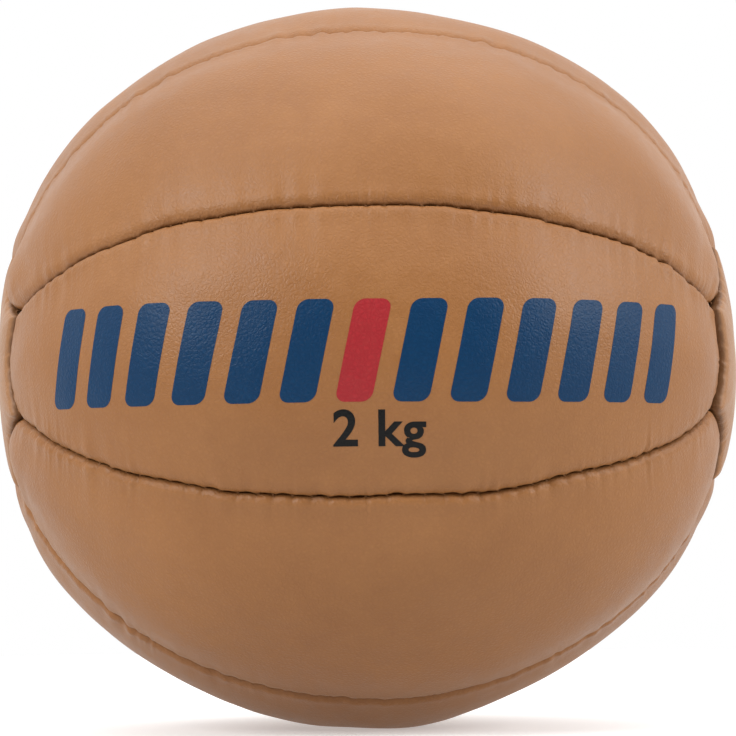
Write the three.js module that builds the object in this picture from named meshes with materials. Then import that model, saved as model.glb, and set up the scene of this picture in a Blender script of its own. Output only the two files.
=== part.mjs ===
// A sewn leather medicine ball, in millimetres.
// Eight long gores run from end to end, and a round cap closes each end. Every seam is turned in and
// sewn, each leather piece is backed with cotton, and a cotton bag of packed fibre fills the cover.
//
// Frame: +X runs from the left cap to the right cap, +Z is up, and the front gore faces -Y.
// The origin is the lowest point of the ball, where it rests.
// A place on the ball is given by phi, from 0 at the right pole to pi at the left pole, and by an angle
// round the X axis, from 0 at the front upwards.

import * as THREE from "three";

// Driving dimensions of the ball
const GIRTH_RADIUS = 120; // from the X axis to the crown of a gore, half-way along
const HALF_LENGTH = 122.6; // from the centre to the crown of a cap
const SQUARENESS = 2.13; // exponent of the lengthways profile: 2 is an ellipse, more is squarer

// The gores, by where they lie, from the front upwards and round
const PLACES = ["front", "upper_front", "top", "upper_back", "back", "lower_back", "bottom", "lower_front"];
// Hand sewing leaves each seam a little off its even place: degrees, first the seam above the front gore
const SEAM_DRIFT = [1.0, -0.65, 0.5, -0.8, 0.7, -0.4, -1.05, 0.65];

// The caps: an eight-sided round whose sides are pushed in by the gores' full ends
const CAP_CORNER_RADIUS = 42.6; // from the X axis to where two gores meet a cap
const GORE_END_BULGE = 0.07; // share of the cap's radius that a gore's end pushes in, at its middle

// How far the skin sinks at a seam: a steep shoulder beside the stitches and a wide, gentle belly
const SHOULDER_DROP = 2.2;
const SHOULDER_REACH = 1.6;
const BELLY_DROP = 2.2;
const BELLY_REACH = 17;
const CORNER_BLEND = 4; // power of the blend between two seams that meet: higher is sharper

// Materials' thicknesses
const LEATHER = 1.8;
const LINING = 0.8;
const BAG = 0.8;
const TURNED_IN = 4; // how far the leather's edge is turned in, below the crease
const GAP = 0.3; // between pieces that touch

// Threads
const COVER_THREAD_RADIUS = 0.5;
const COVER_THREAD_LIFT = 1.3; // from the crease up to the thread's middle
const SEAM_THREAD_STOP = 3; // from a cap's seam to the end of a long seam's thread
const BAG_THREAD_RADIUS = 0.4;

// The filling's bag: how deep it lies under the crown of a gore, and how much more at a seam
const BAG_DEPTH = 4.5;
const BAG_QUILTING = 1.2; // share of the cover's sinking that the bag follows

// Facets
const LENGTH_STEPS = 14; // along a gore
const WIDTH_STEPS = 6; // across a gore
const CAP_SHARES = [0, 0.5, 0.85, 1]; // rings of a cap, as shares of the way from its pole to its seam
const BAG_WIDTH_STEPS = 4; // across a gore's share of the bag
const BAG_LENGTH_STEPS = 4; // from a cap's seam to the bag's middle
const BAG_CAP_STEPS = 2; // from a pole to a cap's seam
const THREAD_SIDES = 4;

const leather = new THREE.MeshStandardMaterial({ color: 0xb38559, roughness: 0.55, metalness: 0 });
const capLeather = new THREE.MeshStandardMaterial({ color: 0xb88a5e, roughness: 0.55, metalness: 0 });
const cotton = new THREE.MeshStandardMaterial({ color: 0xe2d8c0, roughness: 0.95, metalness: 0 });
const canvas = new THREE.MeshStandardMaterial({ color: 0xcfc3a4, roughness: 0.95, metalness: 0 });
const waxedThread = new THREE.MeshStandardMaterial({ color: 0x7a4f2c, roughness: 0.6, metalness: 0 });
const bagThread = new THREE.MeshStandardMaterial({ color: 0xf0eadb, roughness: 0.9, metalness: 0 });
const fibre = new THREE.MeshStandardMaterial({ color: 0x8f8a80, roughness: 1, metalness: 0 });

// ---- The ball's skin ----

function seamAngle(index) {
  const drift = SEAM_DRIFT[(index + PLACES.length) % PLACES.length];
  return ((index + 0.5) * 2 * Math.PI) / PLACES.length + THREE.MathUtils.degToRad(drift);
}

const gores = PLACES.map((place, index) => {
  const below = seamAngle(index - 1);
  const above = seamAngle(index);
  return { place, middle: (below + above) / 2, halfAngle: (above - below) / 2 };
});

// The lengthways profile before the seams sink it: a point and its outward normal.
function profile(phi) {
  const cos = Math.abs(Math.cos(phi));
  const sin = Math.sin(phi);
  const side = Math.sign(Math.cos(phi));
  const normal = new THREE.Vector2(
    (side * cos ** (2 - 2 / SQUARENESS)) / HALF_LENGTH,
    sin ** (2 - 2 / SQUARENESS) / GIRTH_RADIUS,
  ).normalize();
  return {
    x: side * HALF_LENGTH * cos ** (2 / SQUARENESS),
    radius: GIRTH_RADIUS * sin ** (2 / SQUARENESS),
    normal,
  };
}

function profileDistance(phiA, phiB) {
  const a = profile(phiA);
  const b = profile(phiB);
  return Math.hypot(a.x - b.x, a.radius - b.radius);
}

// A step in phi that moves this many millimetres along the profile.
function phiStep(phi, distance) {
  const probe = 1e-3;
  return (distance * probe) / profileDistance(phi, phi + probe);
}

// Where a cap's seam crosses a gore, across = -1 at its lower seam and 1 at its upper one.
function ringPhi({ halfAngle }, across) {
  const straightSide = (CAP_CORNER_RADIUS * Math.cos(halfAngle)) / Math.cos(halfAngle * across);
  const radius = straightSide * (1 - GORE_END_BULGE * (1 - across ** 2));
  return Math.asin((radius / GIRTH_RADIUS) ** (SQUARENESS / 2));
}

// How far the skin lies below its profile, from the distances to the seams round it.
function sink(gore, across, phi) {
  const ring = ringPhi(gore, across);
  const distances = [profileDistance(phi, ring), profileDistance(phi, Math.PI - ring)];
  const onGore = phi > ring && phi < Math.PI - ring;
  if (onGore) {
    const halfWidth = gore.halfAngle * profile(phi).radius;
    distances.push(halfWidth * (1 - across), halfWidth * (1 + across));
  }
  const closeness = distances.reduce((sum, d) => sum + Math.max(d, 1e-6) ** -CORNER_BLEND, 0);
  const distance = closeness ** (-1 / CORNER_BLEND);
  const shoulder = SHOULDER_DROP * Math.exp(-distance / SHOULDER_REACH);
  const belly = BELLY_DROP * Math.exp(-((distance / BELLY_REACH) ** 2));
  return shoulder + belly;
}

function placed(phi, angle, depth) {
  const { x, radius, normal } = profile(phi);
  const lowered = radius - normal.y * depth;
  return new THREE.Vector3(
    x - normal.x * depth,
    -lowered * Math.cos(angle),
    GIRTH_RADIUS + lowered * Math.sin(angle),
  );
}

// A point under the skin. The sides keep their inset from the seams at any depth.
function skinPoint(gore, across, phi, depth, inset = 0) {
  const total = sink(gore, across, phi) + depth;
  const { radius, normal } = profile(phi);
  const squeeze = inset > 0 ? Math.asin(inset / (radius - normal.y * total)) : 0;
  return placed(phi, gore.middle + across * (gore.halfAngle - squeeze), total);
}

// ---- Closed meshes ----

function geometryOf(points, triangles) {
  const geometry = new THREE.BufferGeometry().setFromPoints(points);
  geometry.setIndex(signedVolume(points, triangles) < 0 ? triangles.reverse() : triangles);
  geometry.computeVertexNormals();
  return geometry;
}

function signedVolume(points, triangles) {
  let volume = 0;
  for (let i = 0; i < triangles.length; i += 3) {
    const [a, b, c] = triangles.slice(i, i + 3).map((index) => points[index]);
    volume += a.dot(new THREE.Vector3().crossVectors(b, c)) / 6;
  }
  return volume;
}

// Loops of equal length joined one to the next. The first and the last may be a single point; a loop
// at an end is closed with a fan.
function loft(loops) {
  const ends = [loops[0], loops.at(-1)].map((loop) => (loop.length > 1 ? [centroid(loop)] : []));
  const all = [ends[0], ...loops, ends[1]].filter((loop) => loop.length);
  const points = all.flat();
  const triangles = [];
  let start = 0;
  for (let i = 0; i + 1 < all.length; i++) {
    const next = start + all[i].length;
    const count = Math.max(all[i].length, all[i + 1].length);
    for (let k = 0; k < count; k++) {
      const [here, there] = [k, (k + 1) % count];
      const quad = [
        start + (here % all[i].length),
        start + (there % all[i].length),
        next + (there % all[i + 1].length),
        next + (here % all[i + 1].length),
      ];
      triangles.push(...halves(points, quad));
    }
    start = next;
  }
  return geometryOf(points, triangles);
}

// A quad as two triangles, split along its shorter diagonal, so that two layers of one sheet split
// alike. A quad with two corners at one point is a single triangle.
function halves(points, [a, b, c, d]) {
  if (a === b) return [a, c, d];
  if (c === d) return [a, b, c];
  const first = points[a].distanceTo(points[c]);
  const second = points[b].distanceTo(points[d]);
  return first < second ? [a, b, c, a, c, d] : [a, b, d, b, c, d];
}

function centroid(loop) {
  return loop.reduce((sum, point) => sum.add(point), new THREE.Vector3()).divideScalar(loop.length);
}

// A four-sided panel: an outer face, an inner face, and the walls between their borders. hems are the
// points that those walls pass through on the way in.
function panel(outer, inner, hems) {
  const points = [];
  const triangles = [];
  const grid = (face) => {
    const start = points.length;
    for (const along of LENGTH_SHARES) {
      for (const across of WIDTH_SHARES) points.push(face(along, across));
    }
    return (i, j) => start + i * (WIDTH_STEPS + 1) + j;
  };
  const fill = (at, flip) => {
    for (let i = 0; i < LENGTH_STEPS; i++) {
      for (let j = 0; j < WIDTH_STEPS; j++) {
        const quad = [at(i, j), at(i + 1, j), at(i + 1, j + 1), at(i, j + 1)];
        if (flip) quad.reverse();
        triangles.push(quad[0], quad[1], quad[2], quad[0], quad[2], quad[3]);
      }
    }
  };
  const border = panelBorder();
  const outerAt = grid(outer);
  const innerAt = grid(inner);
  fill(outerAt, false);
  fill(innerAt, true);
  const walls = [border.map(([i, j]) => outerAt(i, j))];
  for (const hem of hems) {
    walls.push(border.map((_, k) => points.length + k));
    points.push(...border.map(([i, j]) => hem(LENGTH_SHARES[i], WIDTH_SHARES[j])));
  }
  walls.push(border.map(([i, j]) => innerAt(i, j)));
  for (let w = 0; w + 1 < walls.length; w++) {
    border.forEach((_, k) => {
      const n = (k + 1) % border.length;
      triangles.push(walls[w][n], walls[w][k], walls[w + 1][k]);
      triangles.push(walls[w][n], walls[w + 1][k], walls[w + 1][n]);
    });
  }
  return geometryOf(points, triangles);
}

// The grid places on a panel's border, in order round it.
function panelBorder() {
  const border = [];
  for (let i = 0; i < LENGTH_STEPS; i++) border.push([i, 0]);
  for (let j = 0; j < WIDTH_STEPS; j++) border.push([LENGTH_STEPS, j]);
  for (let i = LENGTH_STEPS; i > 0; i--) border.push([i, WIDTH_STEPS]);
  for (let j = WIDTH_STEPS; j > 0; j--) border.push([0, j]);
  return border;
}

// Even angles seen from the side, so that the steps are short near both ends: from 0 to 1.
function crowdedEnds(steps) {
  return Array.from({ length: steps + 1 }, (_, i) => (1 - Math.cos((Math.PI * i) / steps)) / 2);
}

const LENGTH_SHARES = crowdedEnds(LENGTH_STEPS);
const WIDTH_SHARES = crowdedEnds(WIDTH_STEPS).map((share) => 2 * share - 1);

// A round thread along a path; `aside` gives two directions square to the path at each of its points.
function thread(path, radius, aside) {
  const loops = path.map((point, i) => {
    const [first, second] = aside(i);
    return Array.from({ length: THREAD_SIDES }, (_, k) => {
      const turn = (2 * Math.PI * k) / THREAD_SIDES;
      return point
        .clone()
        .addScaledVector(first, radius * Math.cos(turn))
        .addScaledVector(second, radius * Math.sin(turn));
    });
  });
  return loft(loops);
}

// The two directions square to a path that runs over the ball: outwards, and sideways.
function asideOnBall(path) {
  const centre = new THREE.Vector3(0, 0, GIRTH_RADIUS);
  return (i) => {
    const before = path[Math.max(i - 1, 0)];
    const after = path[Math.min(i + 1, path.length - 1)];
    const along = new THREE.Vector3().subVectors(after, before).normalize();
    const outwards = new THREE.Vector3().subVectors(path[i], centre);
    outwards.addScaledVector(along, -outwards.dot(along)).normalize();
    return [outwards, new THREE.Vector3().crossVectors(along, outwards)];
  };
}

// ---- The cover ----

// A point of a gore, along = 0 at the right cap and 1 at the left one.
function gorePoint(gore, along, across, depth, inset) {
  const ring = ringPhi(gore, across);
  const start = ring + phiStep(ring, inset);
  return skinPoint(gore, across, start + (Math.PI - 2 * start) * along, depth, inset);
}

function goreLeather(gore) {
  const edge = GAP / 2;
  return panel(
    (along, across) => gorePoint(gore, along, across, 0, edge),
    (along, across) => gorePoint(gore, along, across, LEATHER, edge + LEATHER),
    [
      (along, across) => gorePoint(gore, along, across, TURNED_IN, edge),
      (along, across) => gorePoint(gore, along, across, TURNED_IN, edge + LEATHER),
    ],
  );
}

function goreLining(gore) {
  const depth = LEATHER + GAP;
  const edge = GAP / 2 + LEATHER + GAP;
  return panel(
    (along, across) => gorePoint(gore, along, across, depth, edge),
    (along, across) => gorePoint(gore, along, across, depth + LINING, edge),
    [],
  );
}

// The places round a cap's seam: each gore's columns, without the one that the next gore repeats.
function rimPlaces(shares) {
  return gores.flatMap((gore) => shares.slice(0, -1).map((across) => ({ gore, across })));
}

// A point of a cap, share = 0 at its pole and 1 at its seam; side = 1 is the right cap, -1 the left.
function capPoint(side, { gore, across }, share, depth, inset) {
  const ring = ringPhi(gore, across);
  const phi = (ring - phiStep(ring, inset)) * share;
  const point = skinPoint(gore, across, phi, depth);
  point.x *= side;
  return point;
}

function capLayer(side, depth, inset) {
  const rim = rimPlaces(WIDTH_SHARES);
  return CAP_SHARES.map((share) => {
    const ring = rim.map((place) => capPoint(side, place, share, depth, inset));
    return share === 0 ? [ring[0]] : ring;
  });
}

function capLeatherPiece(side) {
  const edge = GAP / 2;
  const hem = [edge, edge + LEATHER].map((inset) => capLayer(side, TURNED_IN, inset).at(-1));
  return loft([
    ...capLayer(side, 0, edge),
    ...hem,
    ...capLayer(side, LEATHER, edge + LEATHER).reverse(),
  ]);
}

function capLining(side) {
  const depth = LEATHER + GAP;
  const edge = GAP / 2 + LEATHER + GAP;
  return loft([...capLayer(side, depth, edge), ...capLayer(side, depth + LINING, edge).reverse()]);
}

// The thread in the long seam above a gore, clear of both caps' seams.
function seamThread(gore) {
  const ring = ringPhi(gore, 1);
  const stop = ring + phiStep(ring, SEAM_THREAD_STOP);
  const knots = LENGTH_SHARES.map((along) => ring + (Math.PI - 2 * ring) * along);
  const between = knots.filter((phi) => phi > stop && phi < Math.PI - stop);
  const path = [stop, ...between, Math.PI - stop].map((phi) => skinPoint(gore, 1, phi, -COVER_THREAD_LIFT));
  return thread(path, COVER_THREAD_RADIUS, asideOnBall(path));
}

// The ring of thread round a cap. Its two ends stop short of each other.
function capThread(side) {
  const path = rimPlaces(WIDTH_SHARES).map((place) => capPoint(side, place, 1, -COVER_THREAD_LIFT, 0));
  return thread(path, COVER_THREAD_RADIUS, asideOnBall(path));
}

// ---- The filling ----

// The inner bag's places from one pole to the bag's middle, as phi.
function bagPhis({ gore, across }) {
  const ring = ringPhi(gore, across);
  const overCap = Array.from({ length: BAG_CAP_STEPS }, (_, i) => (ring * i) / BAG_CAP_STEPS);
  const overGores = Array.from(
    { length: BAG_LENGTH_STEPS + 1 },
    (_, i) => ring + ((Math.PI / 2 - ring) * i) / BAG_LENGTH_STEPS,
  );
  return [...overCap, ...overGores];
}

const BAG_SHARES = Array.from({ length: BAG_WIDTH_STEPS + 1 }, (_, i) => (2 * i) / BAG_WIDTH_STEPS - 1);
const BAG_RIM = rimPlaces(BAG_SHARES);
const BAG_RINGS = BAG_CAP_STEPS + BAG_LENGTH_STEPS + 1;

// A ring of points under the cover's quilting, index = 0 at the pole and BAG_RINGS - 1 at the middle.
function bagRing(side, index, depth) {
  const ring = BAG_RIM.map((place) => {
    const phi = bagPhis(place)[index];
    const quilted = BAG_QUILTING * sink(place.gore, place.across, phi);
    const point = placed(phi, place.gore.middle + place.across * place.gore.halfAngle, depth + quilted);
    point.x *= side;
    return point;
  });
  return index === 0 ? [ring[0]] : ring;
}

function bagLayer(side, depth) {
  return Array.from({ length: BAG_RINGS }, (_, index) => bagRing(side, index, depth));
}

// Half of the cotton bag: a bowl that stops short of the middle, to leave room for the closing thread.
function bagHalf(side) {
  const toThread = BAG_THREAD_RADIUS + GAP;
  const layers = [bagLayer(side, BAG_DEPTH), bagLayer(side, BAG_DEPTH + BAG)];
  for (const layer of layers) layer.at(-1).forEach((point) => (point.x = side * toThread));
  return loft([...layers[0], ...layers[1].reverse()]);
}

function bagSeamThread() {
  const path = bagRing(1, BAG_RINGS - 1, BAG_DEPTH + BAG / 2);
  return thread(path, BAG_THREAD_RADIUS, asideOnBall(path));
}

function filling() {
  const depth = BAG_DEPTH + BAG + GAP;
  return loft([...bagLayer(1, depth), ...bagLayer(-1, depth).slice(0, -1).reverse()]);
}

// ---- The assembly ----

const ball = new THREE.Group();

function add(name, geometry, material) {
  const mesh = new THREE.Mesh(geometry, material);
  mesh.name = name;
  ball.add(mesh);
}

gores.forEach((gore, index) => {
  add(`gore_${gore.place}`, goreLeather(gore), leather);
  add(`lining_${gore.place}`, goreLining(gore), cotton);
  add(`seam_thread_${index + 1}`, seamThread(gore), waxedThread);
});

for (const [side, name] of [[-1, "left"], [1, "right"]]) {
  add(`end_cap_${name}`, capLeatherPiece(side), capLeather);
  add(`cap_lining_${name}`, capLining(side), cotton);
  add(`cap_thread_${name}`, capThread(side), waxedThread);
  add(`inner_bag_${name}`, bagHalf(side), canvas);
}

add("bag_seam_thread", bagSeamThread(), bagThread);
add("fibre_fill", filling(), fibre);

export default ball;
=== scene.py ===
"""The looks of a sewn leather medicine ball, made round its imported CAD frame.

The ball's long axis is X and its front gore faces -Y. A place on the ball is given by its arc, the
millimetres along the lengthways profile from the right pole, and by an angle round X, from 0 at the
front upwards. Across a gore the angle is a share: -1 at the gore's lower seam and 1 at its upper one.
The maths is in millimetres; meshes, lights and the camera are in metres.
"""
import math

import bmesh
import bpy
import numpy as np
from mathutils import Matrix, Vector

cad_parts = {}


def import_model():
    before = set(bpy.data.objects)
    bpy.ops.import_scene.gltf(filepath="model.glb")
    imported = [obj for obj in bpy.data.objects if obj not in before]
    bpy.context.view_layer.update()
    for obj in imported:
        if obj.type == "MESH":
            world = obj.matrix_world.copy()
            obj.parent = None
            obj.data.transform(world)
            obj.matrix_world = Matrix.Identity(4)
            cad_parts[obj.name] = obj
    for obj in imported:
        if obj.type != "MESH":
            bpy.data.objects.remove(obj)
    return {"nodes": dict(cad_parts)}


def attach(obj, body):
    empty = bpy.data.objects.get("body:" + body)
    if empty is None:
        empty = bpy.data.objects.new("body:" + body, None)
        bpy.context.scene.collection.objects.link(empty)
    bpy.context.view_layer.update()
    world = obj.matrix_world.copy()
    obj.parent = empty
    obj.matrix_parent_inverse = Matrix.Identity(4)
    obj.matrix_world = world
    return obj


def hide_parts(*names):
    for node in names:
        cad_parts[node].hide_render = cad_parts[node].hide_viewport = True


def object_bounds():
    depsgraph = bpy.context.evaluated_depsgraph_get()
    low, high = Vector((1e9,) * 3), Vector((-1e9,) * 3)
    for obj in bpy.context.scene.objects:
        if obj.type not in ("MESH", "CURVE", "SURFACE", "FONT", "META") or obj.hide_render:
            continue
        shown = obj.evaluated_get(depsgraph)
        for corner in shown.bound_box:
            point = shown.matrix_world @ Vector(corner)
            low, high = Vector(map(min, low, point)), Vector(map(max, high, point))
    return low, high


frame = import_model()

CAD_LOW, CAD_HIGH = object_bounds()
MM = 0.001

# -------------------- sizes from the frame

PLACES = ["front", "upper_front", "top", "upper_back", "back", "lower_back", "bottom", "lower_front"]
SIDES = {"right": 1, "left": -1}
GIRTH_RADIUS = (CAD_HIGH.z - CAD_LOW.z) / 2 / MM
HALF_LENGTH = (CAD_HIGH.x - CAD_LOW.x) / 2 / MM
CENTRE_HEIGHT = (CAD_HIGH.z + CAD_LOW.z) / 2 / MM


def seam_angle(index):
    """Where the seam above a gore crosses the ball's middle, from the CAD thread in it."""
    thread = frame["nodes"][f"seam_thread_{index + 1}"]
    points = np.array([v.co for v in thread.data.vertices]) / MM
    middle = points[np.abs(points[:, 0]) < np.abs(points[:, 0]).min() + 1.0].mean(0)
    return math.atan2(middle[2] - CENTRE_HEIGHT, -middle[1]) % (2 * math.pi)


SEAM_ANGLES = np.array([seam_angle(k) for k in range(len(PLACES))])  # SEAM_ANGLES[k] is above gore k
BELOW = np.append(SEAM_ANGLES[-1] - 2 * math.pi, SEAM_ANGLES[:-1])
MIDDLES = (SEAM_ANGLES + BELOW) / 2
HALF_ANGLES = (SEAM_ANGLES - BELOW) / 2

# -------------------- sizes shared with the CAD

SQUARENESS = 2.13  # exponent of the lengthways profile
CAP_CORNER_RADIUS = 42.6  # from the X axis to where two gores meet a cap
SHOULDER = (1.6, 2.2)  # how far a seam's steep and wide sinkings reach, and how deep they go
BELLY = (17.0, 2.2)
LEATHER = 1.8
LINING = 0.8
BAG = 0.8
GAP = 0.3
TURNED_IN = 4.0
BAG_DEPTH = 4.5
BAG_QUILTING = 1.2
BAG_THREAD_RADIUS = 0.4

# -------------------- sizes of the sewing

GORE_END_BULGES = {1: 0.11, -1: 0.15}  # share of a cap's radius that a gore's end pushes in, by side
STITCH_PITCH = 6.0
RING_STITCHES = 42
SIDE_ROLL = (4.8, 2.7)  # how wide and how deep a gore's long edge rolls into its seam
END_ROLL = (4.5, 2.8)  # the same at a gore's end, which lies over the cap
CAP_ROLL = (3.0, 1.8)
END_BELLIES = {1: (15.0, 2.5), -1: (15.0, 0.9)}
END_FULLNESS = {  # how far each gore's end stands out beyond its belly, in the order of PLACES
    1: [0.0, 1.9, 2.2, 1.5, 1.2, 1.5, 1.6, 0.9],
    -1: [0.0, 2.2, 1.4, 1.5, 1.2, 1.5, 1.4, 1.7],
}
FULL_SPAN = 22.0  # how far from a gore's end that fullness reaches
CAP_BELLY = (6.0, 0.7)
LIP = (5.0, 0.45)  # how wide and how proud a gore's upper edge stands beside its seam
OVERHANG = (1.3, 0.8)  # how far from the seam a gore's end leans out over the cap, and how much
CORNER_SPANS = {"fullness": 9.0, "overhang": 5.0}  # how far from a gore's corners its end effects begin
COVER_THREAD_RADIUS = 0.35

# How far from its seam each of a stitch's effects reaches, in millimetres.
LINE_REACH = 7.0
GAPE_REACH = 0.9
GORE_PULL_REACH = 1.8
RING_PULL_REACH = 1.6
RING_PULL_SHARE = 0.6  # the ring's stitches pull a gore's end in by less than a long edge
PLEAT_START = 0.8  # pleats begin on the roll of the edge

# Pleats and puckers as their height and reach.
LONG_PLEATS = (0.16, 4.0)
LONG_PUCKERS = (0.4, 6.0)
RING_PLEATS = (0.14, 5.0)
CAP_PLEATS = (0.12, 4.0)

# -------------------- the ball's own lopsidedness

# Where packing left it fuller or flatter: degrees round Y from +X upwards, degrees of spread, and
# millimetres that it stands out. The last one is pressed flat where the ball rests.
LUMPS = [
    (304, 27, -4.4),
    (246, 15, -2.2),
    (207, 13, 2.4),
    (156, 14, 2.0),
    (70, 13, -1.8),
    (33, 11, 1.2),
    (270, 15, 2.6),
]
REST_SOFTNESS = 1.0  # how gently the skin flattens against what it rests on, in millimetres

# -------------------- the ball's profile

PHI_TABLE = np.linspace(0, math.pi, 20001)


def profile(phi):
    """A point of the lengthways profile, as x and radius, and its outward normal."""
    cos, sin = np.cos(phi), np.clip(np.sin(phi), 0, 1)
    x = HALF_LENGTH * np.sign(cos) * np.abs(cos) ** (2 / SQUARENESS)
    radius = GIRTH_RADIUS * sin ** (2 / SQUARENESS)
    normal_x = np.sign(cos) * np.abs(cos) ** (2 - 2 / SQUARENESS) / HALF_LENGTH
    normal_r = sin ** (2 - 2 / SQUARENESS) / GIRTH_RADIUS
    length = np.hypot(normal_x, normal_r)
    return x, radius, normal_x / length, normal_r / length


X_TABLE, RADIUS_TABLE = profile(PHI_TABLE)[:2]
ARC_TABLE = np.append(0, np.cumsum(np.hypot(np.diff(X_TABLE), np.diff(RADIUS_TABLE))))
WHOLE_ARC = ARC_TABLE[-1]


def fading(distance, reach):
    return np.exp(-((distance / reach) ** 2))


def radius_at(arc):
    return np.interp(arc, ARC_TABLE, RADIUS_TABLE)


def lumped(x, y, z):
    """How far the packing stands out at a place, from the ball's centre."""
    length = np.sqrt(x**2 + y**2 + z**2)
    total = 0.0
    for towards, spread, height in LUMPS:
        turn = math.radians(towards)
        off = np.arccos(np.clip((x * math.cos(turn) + z * math.sin(turn)) / length, -1, 1))
        total = total + height * fading(off, math.radians(spread))
    return total


def placed(arc, angle, depth):
    """Points at a depth under the skin's profile, with x, y and z last; the floor stops them."""
    x, radius, normal_x, normal_r = profile(np.interp(arc, ARC_TABLE, PHI_TABLE))
    under = depth - lumped(x, -radius * np.cos(angle), radius * np.sin(angle))
    lowered = radius - normal_r * under
    above = CENTRE_HEIGHT + lowered * np.sin(angle) - depth
    height = depth + (above + np.sqrt(above**2 + REST_SOFTNESS**2)) / 2
    return np.stack([x - normal_x * under, -lowered * np.cos(angle), height], -1)


def ring_arc(side, half_angle, across):
    """How far from its own pole a cap's seam crosses a gore."""
    straight_side = CAP_CORNER_RADIUS * np.cos(half_angle) / np.cos(half_angle * across)
    radius = straight_side * (1 - GORE_END_BULGES[side] * (1 - across**2))
    phi = np.arcsin((radius / GIRTH_RADIUS) ** (SQUARENESS / 2))
    return np.interp(phi, PHI_TABLE, ARC_TABLE)


def gore_ends(index, across):
    """The arcs at which a gore starts and stops."""
    half_angle = HALF_ANGLES[index]
    return ring_arc(1, half_angle, across), WHOLE_ARC - ring_arc(-1, half_angle, across)


def from_right(side, arc):
    """The arc of a place, from how far from its own pole it lies."""
    return arc if side > 0 else WHOLE_ARC - arc


def half_width(index, arc):
    """Half of a gore's width, in millimetres."""
    return HALF_ANGLES[index] * radius_at(arc)


def gore_at(angle):
    """Which gore an angle lies on, and where across it."""
    index = np.searchsorted(SEAM_ANGLES, angle % (2 * math.pi)) % len(PLACES)
    off = (angle - MIDDLES[index] + math.pi) % (2 * math.pi) - math.pi
    return index, off / HALF_ANGLES[index]


# -------------------- unevenness


def waves(seed, longest, shortest, count=28):
    """A smooth random function of points, mostly between -1 and 1."""
    random = np.random.default_rng(seed)
    directions = random.normal(size=(count, 3))
    directions /= np.linalg.norm(directions, axis=1)[:, None]
    lengths = longest * (shortest / longest) ** random.random(count)
    phases = random.random(count) * 2 * math.pi
    turns = directions * (2 * math.pi / lengths)[:, None]
    strengths = lengths / np.sqrt((lengths**2).sum() / 2)

    def field(points):
        total = np.zeros(points.shape[:-1])
        for turn, phase, strength in zip(turns, phases, strengths, strict=True):
            total += strength * np.cos(points @ turn + phase)
        return total

    return field


def ripple(seed, longest, shortest, count=16):
    """The same along a line: a smooth random function of a distance."""
    random = np.random.default_rng(seed)
    lengths = longest * (shortest / longest) ** random.random(count)
    phases = random.random(count) * 2 * math.pi

    def field(distance):
        total = np.zeros(np.shape(distance))
        for length, phase in zip(lengths, phases, strict=True):
            total += np.cos(distance * (2 * math.pi / length) + phase)
        return total / math.sqrt(count / 2)

    return field


ARCH_SHARES = (0.4, 1.3)  # of its seam's arch, for the arch between two stitches
GAPES = (0.08, 0.24)  # how far a seam opens between two stitches, in millimetres
LEAST_GAPE = 0.03
PULLS = (0.2, 0.75)  # how far in a stitch pulls the leather, in millimetres
PULL_SPAN = 0.8  # how far along the seam it does
OFFSETS = (-0.12, 0.12)  # how far off its place a stitch is, in stitches


class Seam:
    """One sewn seam: how its line wanders, gapes between stitches and is pulled in at each of them."""

    def __init__(self, seed, count, arch, drift, lean=0.0):
        random = np.random.default_rng(seed)
        self.count = count
        self.lean = lean
        self.drift_size = drift
        self.arches = arch * random.uniform(*ARCH_SHARES, count)
        self.gapes = random.uniform(*GAPES, count)
        self.pulls = random.uniform(*PULLS, count)
        self.offsets = random.uniform(*OFFSETS, count)
        self.drift = ripple(seed + 1, 90, 30)
        self.pleats = ripple(seed + 2, 8.0, 2.2)
        self.pleat_sizes = ripple(seed + 3, 60, 12)
        self.puckers = ripple(seed + 4, 22, 7)

    def at(self, turns):
        """What the seam does at a distance given in stitches."""
        index = np.floor(turns).astype(int)
        share = turns - index
        here, after = index % self.count, (index + 1) % self.count
        near = np.where(share < 0.5, here, after)
        off = np.where(share < 0.5, share, share - 1) - self.offsets[near]
        bow = 4 * share * (1 - share)
        distance = turns * STITCH_PITCH
        return {
            "line": self.lean + self.arches[here] * bow + self.drift_size * self.drift(distance),
            "gape": LEAST_GAPE + self.gapes[here] * bow**1.5,
            "pull": self.pulls[near] * fading(off * STITCH_PITCH, PULL_SPAN),
            "pleat": self.pleats(distance) * np.clip(0.5 + 0.6 * self.pleat_sizes(distance), 0.08, 1.6),
            "pucker": self.puckers(distance) * np.clip(0.5 - 0.5 * self.pleat_sizes(distance), 0.1, 1.5),
        }


LONG_STITCHES = int(WHOLE_ARC / STITCH_PITCH) + 2
SEAM_ARCHES = [0.14, 0.3, 0.42, 0.3, 0.42, 0.3, 0.42, 0.5]  # how far each seam bows up between stitches
SEAM_LEANS = [1.1, 0.3, 0.0, 0.0, 0.0, 0.0, -0.6, -0.5]  # how far each seam lies above its CAD place
SEAM_SWINGS = {1: (4, 10), 6: (-13, -9)}  # the slope and the bow of seams that don't run straight
SEAM_DRIFT = 0.3
LONG_SEAMS = [
    Seam(10 * k + 5, LONG_STITCHES, arch, SEAM_DRIFT, lean)
    for k, (arch, lean) in enumerate(zip(SEAM_ARCHES, SEAM_LEANS, strict=True))
]
RING_SEAMS = {side: Seam(200 + 10 * side, RING_STITCHES, 0.0, 0.0) for side in SIDES.values()}
BROAD = waves(3, 110, 38)
BROAD_HEIGHT = 0.5
MIDDLING = waves(4, 30, 9)
MIDDLING_HEIGHT = 0.05
EVEN_SPAN = 12.0  # how far from its seams leather stays even


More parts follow.
